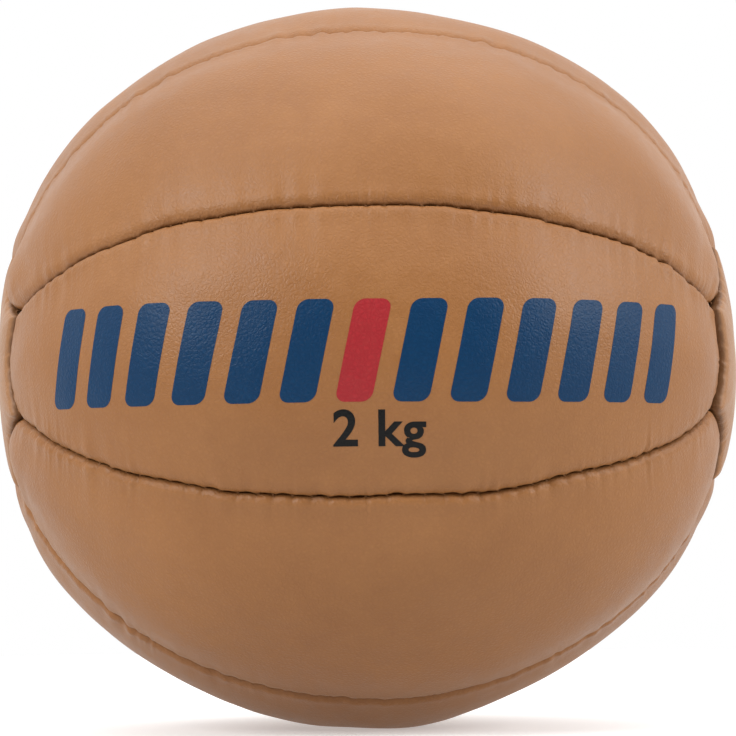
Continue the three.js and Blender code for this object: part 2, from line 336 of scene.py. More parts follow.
def swing(index, arc):
    """How far a whole seam swings up at an arc. Its ends stay at the corners of the caps."""
    slope, bow = SEAM_SWINGS.get(index, (0, 0))
    start, stop = gore_ends(index, 1.0)
    along = np.clip(1 - 2 * (arc - start) / (stop - start), -1, 1)
    return (slope * along + bow * along**2) * (1 - along**4)


# -------------------- the cover's surface


def rolled(*edges):
    """How deep rolled edges lie, from the distance and the (width, depth) of each."""
    shares = [np.clip(1 - distance / width, 0, 1) for distance, (width, _) in edges]
    mixed = sum(share * depth for share, (_, (_, depth)) in zip(shares, edges, strict=True))
    depth = mixed / np.maximum(sum(shares), 1e-9)
    together = np.clip(np.sqrt(sum(share**2 for share in shares)), 0, 1)
    return depth * (1 - np.sqrt(1 - together**2))


def sunk(*edges):
    """How deep the bellies beside seams lie, from the distance and the (reach, depth) of each."""
    return np.sqrt(sum((depth * fading(distance, reach)) ** 2 for distance, (reach, depth) in edges))


def bump(share):
    """A smooth rise and fall between 0 and 1, steeper on the rise."""
    share = np.clip(share, 0, 1)
    return 6.75 * share * (1 - share) ** 2


def unevenness(arc, angle, distance):
    """How far packed leather stands out or lies in, away from its seams."""
    points = placed(arc, angle, 0.0)
    height = BROAD_HEIGHT * BROAD(points) + MIDDLING_HEIGHT * MIDDLING(points)
    return (1 - np.exp(-distance / EVEN_SPAN)) * height


FOLDS = {}  # how far a gore's simulated folds stand out, over a grid, by its number


def folded(index, right, left, across):
    """How far the simulated folds stand out, from a gore's distances to its two ends."""
    if index not in FOLDS:
        return 0.0
    field = FOLDS[index]
    along = np.clip(right / (right + left), 0, 1) * (field.shape[0] - 1)
    aside = np.clip((across + 1) / 2, 0, 1) * (field.shape[1] - 1)
    return sampled(field, along, aside)


def sampled(field, rows, columns):
    """A grid's value between its points, smoothly in both directions."""
    total = 0.0
    for row, row_weight in spline_weights(rows, field.shape[0]):
        for column, column_weight in spline_weights(columns, field.shape[1]):
            total = total + row_weight * column_weight * field[row, column]
    return total


def spline_weights(place, count):
    """The four grid numbers round a place and their cubic B-spline weights."""
    number = np.floor(place).astype(int)
    t = place - number
    weights = [(1 - t) ** 3, 3 * t**3 - 6 * t**2 + 4, 1 + 3 * t + 3 * t**2 - 3 * t**3, t**3]
    return [(np.clip(number + k - 1, 0, count - 1), weight / 6) for k, weight in enumerate(weights)]


def gore_points(index, arc, across, depth=0.0, stitched=True):
    """Points of a gore's outer face, or of a layer at a depth under it."""
    angle = MIDDLES[index] + across * HALF_ANGLES[index]
    radius = radius_at(arc)
    lower = half_width(index, arc) * (1 + across)
    upper = half_width(index, arc) * (1 - across)
    start, stop = gore_ends(index, across)
    right, left = arc - start, stop - arc
    ends, sides = np.minimum(right, left), np.minimum(lower, upper)
    total = depth + sunk((lower, BELLY), (upper, BELLY), (right, END_BELLIES[1]), (left, END_BELLIES[-1]))
    total = total + rolled((lower, SIDE_ROLL), (upper, SIDE_ROLL), (ends, END_ROLL))
    total = total - LIP[1] * bump(upper / LIP[0])
    off_corner = 1 - fading(sides, CORNER_SPANS["fullness"])
    for side, distance in ((1, right), (-1, left)):
        total = total - END_FULLNESS[side][index] * bump(distance / FULL_SPAN) * off_corner
    total = total - unevenness(arc, angle, np.minimum(ends, sides)) - folded(index, right, left, across)
    shift, pulled = long_sewing(index, arc, lower, upper, stitched)
    if not stitched:
        return placed(arc, angle + shift / radius, total)
    slide, end_pulled = end_sewing(angle, right, left, sides)
    return placed(arc + slide, angle + shift / radius, total + pulled + end_pulled)


def long_sewing(index, arc, lower, upper, stitched):
    """How far a gore's two long seams move its leather up round the ball, and how far in."""
    shift, pulled = 0.0, 0.0
    for number, distance, away in ((index - 1, lower, 1), (index, upper, -1)):
        does = LONG_SEAMS[number].at(arc / STITCH_PITCH)
        share = np.clip(distance / (lower + upper), 0, 1)
        shift = shift + does["line"] * fading(distance, LINE_REACH)
        shift = shift + swing(number, arc) * (1 - share) ** 2 * (1 + 2 * share)
        if stitched:
            shift = shift + away * does["gape"] * np.exp(-distance / GAPE_REACH)
            pulled = pulled + does["pull"] * np.exp(-distance / GORE_PULL_REACH)
            pulled = pulled + pleated(does["pleat"], distance, LONG_PLEATS)
            pulled = pulled + pleated(does["pucker"], distance, LONG_PUCKERS)
    return shift, pulled


def end_sewing(angle, right, left, sides):
    """How far the seams round the caps move a gore's leather along the ball, and how far in."""
    slide, pulled = 0.0, 0.0
    for side, distance in ((1, right), (-1, left)):
        does = ring_sewing(side, angle)
        lean = OVERHANG[1] * distance / OVERHANG[0] * np.exp(1 - distance / OVERHANG[0])
        lean = lean * (1 - fading(sides, CORNER_SPANS["overhang"]))
        slide = slide + side * (does["gape"] * np.exp(-distance / GAPE_REACH) - lean)
        pulled = pulled + RING_PULL_SHARE * does["pull"] * np.exp(-distance / RING_PULL_REACH)
        pulled = pulled + pleated(does["pleat"], distance, RING_PLEATS)
    return slide, pulled


def ring_sewing(side, angle):
    """What the seam round a cap does at an angle."""
    return RING_SEAMS[side].at(angle % (2 * math.pi) / (2 * math.pi) * RING_STITCHES)


def pleated(pleat, distance, height_and_reach):
    """How deep the fine pleats beside a seam lie."""
    height, reach = height_and_reach
    return height * pleat * np.exp(-distance / reach) * (1 - np.exp(-distance / PLEAT_START))


def cap_points(side, angle, inward, depth=0.0, stitched=True):
    """Points of a cap, from how far inward of its seam they lie."""
    index, across = gore_at(angle)
    total = depth + sunk((inward, CAP_BELLY)) + rolled((inward, CAP_ROLL))
    arc = ring_arc(side, HALF_ANGLES[index], across) - inward
    total = total - unevenness(from_right(side, arc), angle, inward)
    if stitched:
        does = ring_sewing(side, angle)
        arc = arc - does["gape"] * np.exp(-inward / GAPE_REACH)
        total = total + does["pull"] * np.exp(-inward / RING_PULL_REACH)
        total = total + pleated(does["pleat"], inward, CAP_PLEATS)
    return placed(from_right(side, arc), angle, total)


def seam_distance(arc, angle):
    """Millimetres from any place on the ball to the nearest seam."""
    index, across = gore_at(angle)
    start, stop = gore_ends(index, across)
    past = np.minimum(arc - start, stop - arc)
    to_side = half_width(index, arc) * (1 - np.abs(across))
    return np.where(past > 0, np.minimum(past, to_side), -past)


# -------------------- meshes


def linked(name, data):
    """A new object in the scene."""
    obj = bpy.data.objects.new(name, data)
    bpy.context.scene.collection.objects.link(obj)
    return obj


def mesh_object(name, points, quads, triangles=()):
    """A closed, smooth mesh whose faces point out."""
    quads = np.asarray(quads, int).reshape(-1, 4)
    triangles = np.asarray(triangles, int).reshape(-1, 3)
    halves = np.concatenate([quads[:, :3], quads[:, [0, 2, 3]], triangles])
    a, b, c = (points[halves[:, k]] - [0, 0, CENTRE_HEIGHT] for k in range(3))
    if np.einsum("ij,ij->", a, np.cross(b, c)) < 0:
        quads, triangles = quads[:, ::-1], triangles[:, ::-1]
    corners = np.concatenate([quads.ravel(), triangles.ravel()])
    starts = np.concatenate([4 * np.arange(len(quads)), 4 * len(quads) + 3 * np.arange(len(triangles))])
    mesh = bpy.data.meshes.new(name)
    mesh.vertices.add(len(points))
    mesh.vertices.foreach_set("co", (points * MM).astype(np.float32).ravel())
    mesh.loops.add(len(corners))
    mesh.loops.foreach_set("vertex_index", corners)
    mesh.polygons.add(len(starts))
    mesh.polygons.foreach_set("loop_start", starts)
    mesh.update(calc_edges=True)
    mesh.validate()
    mesh.shade_smooth()
    return linked(name, mesh)


def with_distances(obj, distances):
    """Keeps its first vertices' distances from the nearest seam for the material, which paints shade into
    the creases by them; the rest have 0.
    """
    attribute = obj.data.attributes.new("seam_distance", "FLOAT", "POINT")
    rest = np.zeros(len(obj.data.vertices) - len(distances))
    attribute.data.foreach_set("value", np.append(distances, rest).astype(np.float32))
    return obj


def strip(lower, upper):
    """Quads between two closed loops of vertex numbers of equal length."""
    return np.stack([lower, np.roll(lower, -1), np.roll(upper, -1), upper], -1)


def zipped(fine, coarse):
    """Triangles between two closed loops, the first with a whole number of times the second's points."""
    ratio = len(fine) // len(coarse)
    triangles = []
    for c in range(len(coarse)):
        near, far = coarse[c], coarse[(c + 1) % len(coarse)]
        for m in range(ratio):
            here, there = fine[c * ratio + m], fine[(c * ratio + m + 1) % len(fine)]
            if m == ratio // 2:
                triangles.append((here, far, near))
            triangles.append((here, there, near if m < ratio // 2 else far))
    return triangles


def grid_quads(numbers):
    return np.stack([numbers[:-1, :-1], numbers[:-1, 1:], numbers[1:, 1:], numbers[1:, :-1]], -1)


def border(grid):
    """The outermost places of a grid, in order round it."""
    return np.concatenate([grid[:-1, 0], grid[-1, :-1], grid[:0:-1, -1], grid[0, :0:-1]])


def tray(name, outer, walls, inner):
    """A panel with an outer face, walls round its border and a coarser inner face."""
    outer_numbers = np.arange(outer[..., 0].size).reshape(outer.shape[:2])
    loops = [border(outer_numbers)]
    points = [outer.reshape(-1, 3)]
    used = outer_numbers.size
    for wall in walls:
        loops.append(np.arange(len(wall)) + used)
        points.append(wall)
        used += len(wall)
    inner_numbers = np.arange(inner[..., 0].size).reshape(inner.shape[:2]) + used
    points.append(inner.reshape(-1, 3))
    quads = [grid_quads(outer_numbers).reshape(-1, 4), grid_quads(inner_numbers).reshape(-1, 4)[:, ::-1]]
    quads += [strip(a, b) for a, b in zip(loops, loops[1:], strict=False)]
    triangles = zipped(loops[-1], border(inner_numbers))
    return mesh_object(name, np.concatenate(points), np.concatenate(quads), triangles)


def revolved(name, rings):
    """Closed loops of equal length joined one to the next; the first and the last are one point."""
    size = len(rings[1])
    points = np.concatenate([ring.reshape(-1, 3) for ring in rings])
    first = np.arange(size) + 1
    loops = [first + k * size for k in range(len(rings) - 2)]
    quads = np.concatenate([strip(a, b) for a, b in zip(loops, loops[1:], strict=False)])
    last = len(points) - 1
    fans = [np.stack([np.zeros(size, int), np.roll(loops[0], -1), loops[0]], -1)]
    fans.append(np.stack([np.full(size, last), loops[-1], np.roll(loops[-1], -1)], -1))
    return mesh_object(name, points, quads, np.concatenate(fans))


def tube(name, path, radius, sides=6):
    """A round thread along an open path over the ball, with pointed ends."""
    along = np.gradient(path, axis=0)
    along /= np.linalg.norm(along, axis=1)[:, None]
    outwards = path - np.array([0, 0, CENTRE_HEIGHT])
    outwards -= (outwards * along).sum(1)[:, None] * along
    outwards /= np.linalg.norm(outwards, axis=1)[:, None]
    aside = np.cross(along, outwards)
    turns = np.linspace(0, 2 * math.pi, sides, endpoint=False)
    rings = [
        path[k] + radius * (np.cos(turns)[:, None] * outwards[k] + np.sin(turns)[:, None] * aside[k])
        for k in range(len(path))
    ]
    tips = [path[0] - along[0] * radius, path[-1] + along[-1] * radius]
    return revolved(name, [tips[0], *rings, tips[1]])


# -------------------- grids over a gore

ROLL_STEPS = 8
SPACING_PASSES = 5


def over_roll(width):
    """Distances from an edge to the end of its roll, closer together nearer to the edge."""
    return width * (1 - np.cos(np.linspace(0, math.pi / 2, ROLL_STEPS + 1)))


def spaced(length, roll, steps):
    """Distances along an edge of that length: close together over both rolls, even between them."""
    start = over_roll(roll)
    between = np.linspace(0, 1, steps - 2 * ROLL_STEPS + 1)[1:-1]
    length = np.asarray(length, float)[..., None]
    parts = [start + 0 * length, roll + (length - 2 * roll) * between, length - start[::-1]]
    return np.concatenate(parts, -1)


def gore_grid(index, along_steps, across_steps):
    """arc and across of a grid over a gore, both with the length first and the width second."""
    across = np.repeat(np.linspace(-1, 1, across_steps + 1)[None, :], along_steps + 1, 0)
    for _ in range(SPACING_PASSES):
        start, stop = gore_ends(index, across[0])
        arc = start + spaced(stop - start, END_ROLL[0], along_steps).T
        row_width = HALF_ANGLES[index] * radius_at(arc).mean(1)
        offset = spaced(2 * row_width, SIDE_ROLL[0], across_steps)
        across = offset / row_width[:, None] - 1
    return arc, across


def inset_grid(index, arc, across, inset):
    """The same grid drawn in from all four seams."""
    start, stop = gore_ends(index, across)
    drawn = arc + inset * (1 - 2 * (arc - start) / (stop - start))
    return drawn, across * (1 - inset / half_width(index, arc))


# -------------------- the cloth simulation of the gores

CLOTH_STEPS = (180, 40)
CLOTH_SCALE = 0.01  # metres of simulated cloth for each millimetre
CLOTH_FRAMES = 20
CLOTH_SPARE = 0.03  # the share by which the leather is longer than the seam that gathers it
CLOTH_PRESSURE = 0.1
FOLD_SHARE = 0.09  # of the simulated folds' height that packed leather keeps
FOLD_LIMIT = 0.35  # the most that the simulation may move the leather, in millimetres
FOLD_SPAN = 6.0  # wider waves than this many cells are left to the ball's plain shape


def cloth_sheet(index):
    """A gore's outer face as a sheet to simulate, with its seams pinned; and its grid of points."""
    across = np.linspace(-1, 1, CLOTH_STEPS[1] + 1)[None, :] + np.zeros((CLOTH_STEPS[0] + 1, 1))
    start, stop = gore_ends(index, across)
    arc = start + (stop - start) * np.linspace(0, 1, CLOTH_STEPS[0] + 1)[:, None]
    points = gore_points(index, arc, across, 0.0, False)
    numbers = np.arange(arc.size).reshape(arc.shape)
    sheet = mesh_object(f"cloth_{index}", points.reshape(-1, 3), grid_quads(numbers).reshape(-1, 4))
    sheet.data.transform(Matrix.Scale(CLOTH_SCALE / MM, 4))
    pins = sheet.vertex_groups.new(name="pins")
    pins.add(border(numbers).tolist(), 1.0, "REPLACE")
    cloth = sheet.modifiers.new("cloth", "CLOTH")
    settings = cloth.settings
    settings.vertex_group_mass = "pins"
    settings.effector_weights.gravity = 0
    settings.use_pressure = True
    settings.uniform_pressure_force = CLOTH_PRESSURE
    settings.shrink_min = -CLOTH_SPARE
    settings.tension_stiffness = 40
    settings.compression_stiffness = 40
    settings.shear_stiffness = 20
    settings.bending_stiffness = 0.5
    settings.quality = 10
    cloth.collision_settings.use_self_collision = False
    cloth.collision_settings.use_collision = False
    cloth.point_cache.frame_start = 1
    cloth.point_cache.frame_end = CLOTH_FRAMES
    return sheet, points


def folds_of(swelling):
    """What is left of a swelling without its wide waves along the gore."""
    lags = np.arange(-3 * FOLD_SPAN, 3 * FOLD_SPAN + 1)
    weights = fading(lags, FOLD_SPAN * math.sqrt(2))
    padded = np.pad(swelling, ((lags.size // 2, lags.size // 2), (0, 0)), mode="edge")
    windows = np.lib.stride_tricks.sliding_window_view(padded, lags.size, axis=0)
    return swelling - windows @ (weights / weights.sum())


def simulate_gores():
    """Lets every gore swell between its pinned seams, and keeps the folds that its gathering makes."""
    sheets = [cloth_sheet(index) for index in range(len(PLACES))]
    for number in range(1, CLOTH_FRAMES + 1):
        bpy.context.scene.frame_set(number)
    depsgraph = bpy.context.evaluated_depsgraph_get()
    for index, (sheet, points) in enumerate(sheets):
        moved = np.empty(points.size, np.float32)
        sheet.evaluated_get(depsgraph).data.vertices.foreach_get("co", moved)
        off = moved.reshape(points.shape) / CLOTH_SCALE - points
        outwards = np.cross(np.gradient(points, axis=0), np.gradient(points, axis=1))
        outwards *= np.sign((outwards * (points - [0, 0, CENTRE_HEIGHT])).sum(-1, keepdims=True))
        outwards /= np.linalg.norm(outwards, axis=-1, keepdims=True)
        folds = FOLD_SHARE * folds_of((off * outwards).sum(-1))
        FOLDS[index] = FOLD_LIMIT * np.tanh(folds / FOLD_LIMIT)
        bpy.data.objects.remove(sheet)
    bpy.context.scene.frame_set(1)


simulate_gores()

# -------------------- the cover

GORE_STEPS = (520, 104)
LINING_STEPS = (144, 32)
INNER_EVERY = 4


def gore_leather(index):
    """The leather of a gore: a finely meshed outer face, its turned-in edges and a coarser inner face."""
    arc, across = gore_grid(index, *GORE_STEPS)
    outer = gore_points(index, arc, across)
    edge = border(arc), border(across)
    hem = inset_grid(index, *edge, LEATHER)
    walls = [
        gore_points(index, *edge, TURNED_IN),
        gore_points(index, *hem, TURNED_IN + SIDE_ROLL[1], False),
    ]
    every = slice(None, None, INNER_EVERY)
    coarse = inset_grid(index, arc[every, every], across[every, every], LEATHER)
    inner = gore_points(index, *coarse, LEATHER, False)
    piece = tray(f"leather_gore_{PLACES[index]}", outer, walls, inner)
    distances = seam_distance(arc, MIDDLES[index] + across * HALF_ANGLES[index])
    return with_distances(piece, distances.ravel())


def gore_lining(index):
    arc, across = gore_grid(index, *LINING_STEPS)
    inset = LEATHER + GAP + GAP
    arc, across = inset_grid(index, arc, across, inset)
    outer = gore_points(index, arc, across, LEATHER + GAP, False)
    inner = gore_points(index, arc[::2, ::2], across[::2, ::2], LEATHER + GAP + LINING, False)
    return tray(f"cotton_lining_{PLACES[index]}", outer, [], inner)


CAP_COLUMNS = 432
CAP_ROWS = 40
CAP_LINING_ROWS = 16
RIM_ANGLES = np.linspace(0, 2 * math.pi, CAP_COLUMNS, endpoint=False)


def cap_rings(side, depth, inset, stitched, rows):
    """Rings of points from a cap's pole to its rim, and how far inward each ring lies."""
    index, across = gore_at(RIM_ANGLES)
    reach = ring_arc(side, HALF_ANGLES[index], across)
    inwards = [np.full(CAP_COLUMNS, distance) for distance in over_roll(CAP_ROLL[0])]
    shares = np.linspace(0, 1, rows + 1)[1:]
    inwards += [CAP_ROLL[0] + (reach - CAP_ROLL[0]) * share for share in shares]
    inwards = [inset + inward * (1 - inset / reach) for inward in inwards][::-1]
    rings = [cap_points(side, RIM_ANGLES, inward, depth, stitched) for inward in inwards]
    rings[0] = rings[0].mean(0)
    return rings, inwards


def cap_leather(name, side):
    outer, inwards = cap_rings(side, 0.0, 0.0, True, CAP_ROWS)
    inner, _ = cap_rings(side, LEATHER, LEATHER, False, CAP_ROWS // 2)
    hems = [
        cap_points(side, RIM_ANGLES, 0 * RIM_ANGLES, TURNED_IN),
        cap_points(side, RIM_ANGLES, 0 * RIM_ANGLES + LEATHER, TURNED_IN + CAP_ROLL[1], False),
    ]
    piece = revolved(f"leather_cap_{name}", [*outer, *hems, *inner[::-1]])
    return with_distances(piece, np.concatenate([inwards[0][:1], *inwards[1:]]))


def cap_lining(name, side):
    inset = LEATHER + GAP + GAP
    outer, _ = cap_rings(side, LEATHER + GAP, inset, False, CAP_LINING_ROWS)
    inner, _ = cap_rings(side, LEATHER + GAP + LINING, inset, False, CAP_LINING_ROWS)
    return revolved(f"cotton_cap_lining_{name}", [*outer, *inner[::-1]])


# -------------------- the threads

# One stitch as knots of its thread: millimetres along the seam, aside of it, and deep.
STITCH_KNOTS = [
    (-1.7, -0.7, 4.2),
    (-0.8, -0.7, 3.0),
    (-0.35, -0.35, 2.45),
    (0.35, 0.35, 2.45),
    (0.8, 0.7, 3.0),
    (1.7, 0.7, 4.2),
]
THREAD_STOP = 3.0  # how far from the cap's corner a long seam's thread ends
SMOOTHING = 4  # points between two knots


def smoothed(knots):
    """A path through knots, with even steps of a Catmull-Rom curve between them."""
    padded = np.concatenate([knots[:1], knots, knots[-1:]])
    before, here, there, after = padded[:-3], padded[1:-2], padded[2:-1], padded[3:]
    steps = []
    for t in np.arange(SMOOTHING) / SMOOTHING:
        square = (2 * before - 5 * here + 4 * there - after) * t**2
        cube = (3 * here - before - 3 * there + after) * t**3
        steps.append(here + ((there - before) * t + square + cube) / 2)
    return np.append(np.stack(steps, 1).reshape(-1, 3), knots[-1:], 0)


def seam_thread(index):
    """The thread of the long seam above a gore: it crosses the crease at each stitch."""
    seam = LONG_SEAMS[index]
    start = ring_arc(1, HALF_ANGLES[index], 1.0) + THREAD_STOP
    knots = []
    for n in range(math.ceil(start / STITCH_PITCH), int((WHOLE_ARC - start) / STITCH_PITCH) + 1):
        for along, aside, depth in STITCH_KNOTS:
            arc = (n + seam.offsets[n % seam.count]) * STITCH_PITCH + along
            line = seam.at(np.array(arc / STITCH_PITCH))["line"] + swing(index, arc) + aside
            knots.append(placed(arc, SEAM_ANGLES[index] + line / radius_at(arc), BELLY[1] + depth))
    return tube(f"long_seam_thread_{index + 1}", smoothed(np.array(knots)), COVER_THREAD_RADIUS)


def cap_thread(name, side):
    """The thread round a cap, deep under the gores' ends."""
    seam = RING_SEAMS[side]
    knots = []
    for n in range(RING_STITCHES):
        for along, aside, depth in STITCH_KNOTS:
            middle = (n + 0.5 + seam.offsets[n]) / RING_STITCHES * 2 * math.pi
            angle = np.array(middle + along / CAP_CORNER_RADIUS)
            index, across = gore_at(angle)
            arc = ring_arc(side, HALF_ANGLES[index], across) + aside
            knots.append(placed(from_right(side, arc), angle, END_BELLIES[side][1] + depth))
    return tube(f"ring_seam_thread_{name}", smoothed(np.array(knots)), COVER_THREAD_RADIUS)


# -------------------- the filling

BAG_COLUMNS = 192
BAG_ROWS = 56
BAG_ANGLES = np.linspace(0, 2 * math.pi, BAG_COLUMNS, endpoint=False)
CREASES = waves(11, 24, 6)
CREASE_HEIGHT = 0.12
TUFTS = waves(12, 16, 5)
TUFT_HEIGHT = 0.25
BAG_STITCHES = 90
BAG_THREAD_SWAY = 0.25
BAG_THREAD_SHARE = 0.995  # of the way round the bag
BAG_THREAD_STEPS = 700


def quilting(distance):
    """How deep the cover's seams draw the bag in, from the distance to the nearest one."""
    steep = SHOULDER[1] * np.exp(-distance / SHOULDER[0])
    return BAG_QUILTING * (steep + BELLY[1] * fading(distance, BELLY[0]))


def bag_rings(side, depth, middle, uneven):
    """Rings round the filling from a pole to the ball's middle, drawn in under the cover's seams."""
    rings = []
    for arc in np.linspace(0, WHOLE_ARC / 2, BAG_ROWS + 1):
        place = from_right(side, arc)
        total = depth + quilting(seam_distance(arc, BAG_ANGLES))
        rings.append(placed(place, BAG_ANGLES, total + uneven(placed(place, BAG_ANGLES, total))))
    rings[0] = rings[0].mean(0)
    rings[-1][:, 0] = side * middle
    return rings


def bag_half(name, side):
    to_thread = BAG_THREAD_RADIUS + GAP

    def uneven(points):
        return CREASE_HEIGHT * CREASES(points)

    outer = bag_rings(side, BAG_DEPTH, to_thread, uneven)
    inner = bag_rings(side, BAG_DEPTH + BAG, to_thread, uneven)
    return revolved(f"canvas_bag_{name}", [*outer, *inner[::-1]])


def bag_thread():
    """The thread that closes the bag round its middle, wound a little from side to side."""
    middle = WHOLE_ARC / 2
    turns = np.linspace(0, 2 * math.pi * BAG_THREAD_SHARE, BAG_THREAD_STEPS)
    depth = BAG_DEPTH + BAG / 2 + quilting(seam_distance(middle, turns))
    path = placed(middle + BAG_THREAD_SWAY * np.sin(turns * BAG_STITCHES), turns, depth)
    return tube("bag_closing_thread", path, BAG_THREAD_RADIUS)


def filling():
    depth = BAG_DEPTH + BAG + 2 * GAP

    def uneven(points):
        return CREASE_HEIGHT * CREASES(points) + TUFT_HEIGHT * (1 + np.abs(TUFTS(points)))

    right = bag_rings(1, depth, 0.0, uneven)
    left = bag_rings(-1, depth, 0.0, uneven)
    return revolved("packed_fibre", [*right, *left[:-1][::-1]])


# -------------------- the print

PRINT_LIFT = 0.07  # how high the ink's face stands over the leather
PRINT_SINK = 0.02  # how deep its underside lies in the leather
PRINT_FACET = 1.6  # longest edge of a print's facets, in millimetres
BAR_COUNT = 13
BAR_PITCH = 17.6
BAR_WIDTH = 11.4
BAR_HEIGHT = 32.0
BAR_SLANT = math.radians(12)
BAR_CORNER = 3.2
WEIGHT_MARK = "2 kg"
WEIGHT_HEIGHT = 11.2  # of a digit
WEIGHT_DROP = 25.0  # from the gore's centre line down to the mark's middle
WEIGHT_ASIDE = 4.5
DIGIT_SHARE = 0.69  # a digit's height as a share of the built-in font's size
BOLDNESS = 0.03  # how far the letters' outlines grow, as a share of a digit's height
LETTER_SPACING = 1.06


def rounded_bar():
    """The outline of one slanted bar with round corners, centred on 0."""
    outline = []
    for k, (side_x, side_y) in enumerate([(1, 1), (-1, 1), (-1, -1), (1, -1)]):
        centre_x = side_x * (BAR_WIDTH / 2 - BAR_CORNER)
        centre_y = side_y * (BAR_HEIGHT / 2 - BAR_CORNER)
        for turn in np.linspace(k * math.pi / 2, (k + 1) * math.pi / 2, 9):
            x = centre_x + BAR_CORNER * math.cos(turn)
            y = centre_y + BAR_CORNER * math.sin(turn)
            outline.append((x + y * math.tan(BAR_SLANT), y))
    return np.array(outline)


def flat_shape(outlines):
    """A flat curve object from closed outlines, in millimetres."""
    curve = bpy.data.curves.new("flat", "CURVE")
    curve.dimensions = "2D"
    curve.fill_mode = "FRONT"
    for outline in outlines:
        spline = curve.splines.new("POLY")
        spline.points.add(len(outline) - 1)
        spline.points.foreach_set("co", np.pad(outline, ((0, 0), (0, 2)), constant_values=0).ravel())
        spline.use_cyclic_u = True
    return curve


def flat_text(text, digit_height):
    """The built-in letters as a flat curve, made a little bolder, centred on 0."""
    curve = bpy.data.curves.new("flat", "FONT")
    curve.body = text
    curve.align_x = "CENTER"
    curve.align_y = "CENTER"
    curve.size = digit_height / DIGIT_SHARE
    curve.offset = BOLDNESS * digit_height
    curve.space_character = LETTER_SPACING
    return curve


def facets(curve):
    """A flat curve cut into small triangles: points with x and y, and triangles."""
    holder = linked("flat", curve)
    mesh = bpy.data.meshes.new_from_object(holder.evaluated_get(bpy.context.evaluated_depsgraph_get()))
    bpy.data.objects.remove(holder)
    cut = bmesh.new()
    cut.from_mesh(mesh)
    bpy.data.meshes.remove(mesh)
    bmesh.ops.remove_doubles(cut, verts=cut.verts, dist=1e-4)
    low = Vector((min(v.co.x for v in cut.verts), min(v.co.y for v in cut.verts), 0))
    high = Vector((max(v.co.x for v in cut.verts), max(v.co.y for v in cut.verts), 0))
    for axis in range(2):
        normal = Vector((axis == 0, axis == 1, 0))
        first, last = math.ceil(low[axis] / PRINT_FACET), high[axis] / PRINT_FACET
        for number in np.arange(first, last):
            at = normal * float(number * PRINT_FACET)
            everything = [*cut.verts, *cut.edges, *cut.faces]
            bmesh.ops.bisect_plane(cut, geom=everything, dist=1e-5, plane_co=at, plane_no=normal)
    bmesh.ops.triangulate(cut, faces=cut.faces)
    bmesh.ops.remove_doubles(cut, verts=cut.verts, dist=1e-3)
    cut.verts.index_update()
    points = np.array([v.co[:2] for v in cut.verts])
    triangles = np.array([[v.index for v in face.verts] for face in cut.faces])
    cut.free()
    return points, triangles


def printed(name, curve, shift_x, shift_y):
    """A film of ink on the front gore, from a flat shape; x runs to the right pole and y upwards."""
    points, triangles = facets(curve)
    arc = WHOLE_ARC / 2 - (points[:, 0] + shift_x)
    across = (points[:, 1] + shift_y) / radius_at(arc) / HALF_ANGLES[0]
    outer = gore_points(0, arc, across, -PRINT_LIFT)
    inner = gore_points(0, arc, across, PRINT_SINK)
    edges = np.concatenate([triangles[:, [0, 1]], triangles[:, [1, 2]], triangles[:, [2, 0]]])
    twins = set(map(tuple, edges[:, ::-1]))
    rim = np.array([edge for edge in map(tuple, edges) if edge not in twins])
    size = len(points)
    walls = np.stack([rim[:, 1], rim[:, 0], rim[:, 0] + size, rim[:, 1] + size], -1)
    all_triangles = np.concatenate([triangles, triangles[:, ::-1] + size])
    film = mesh_object(name, np.concatenate([outer, inner]), walls, all_triangles)
    on_rim = set(map(frozenset, rim.tolist())) | set(map(frozenset, (rim + size).tolist()))
    sharp = [frozenset(edge.vertices) in on_rim for edge in film.data.edges]
    film.data.attributes.new("sharp_edge", "BOOLEAN", "EDGE").data.foreach_set("value", sharp)
    return film


def bars(wanted):
    """The outlines of the bars whose number from the middle one is wanted."""
    numbers = range(-(BAR_COUNT // 2), BAR_COUNT // 2 + 1)
    return [rounded_bar() + [n * BAR_PITCH, 0] for n in numbers if wanted(n)]


# -------------------- materials


def node(tree, kind, inputs=(), **settings):
    """A new node, from its settings and its inputs. An input is a value, or a socket to link."""
    made = tree.nodes.new(kind)
    for key, value in settings.items():
        setattr(made, key, value)
    for key, value in dict(inputs).items():
        if isinstance(value, bpy.types.NodeSocket):
            tree.links.new(value, made.inputs[key])
        else:
            made.inputs[key].default_value = value
    return made


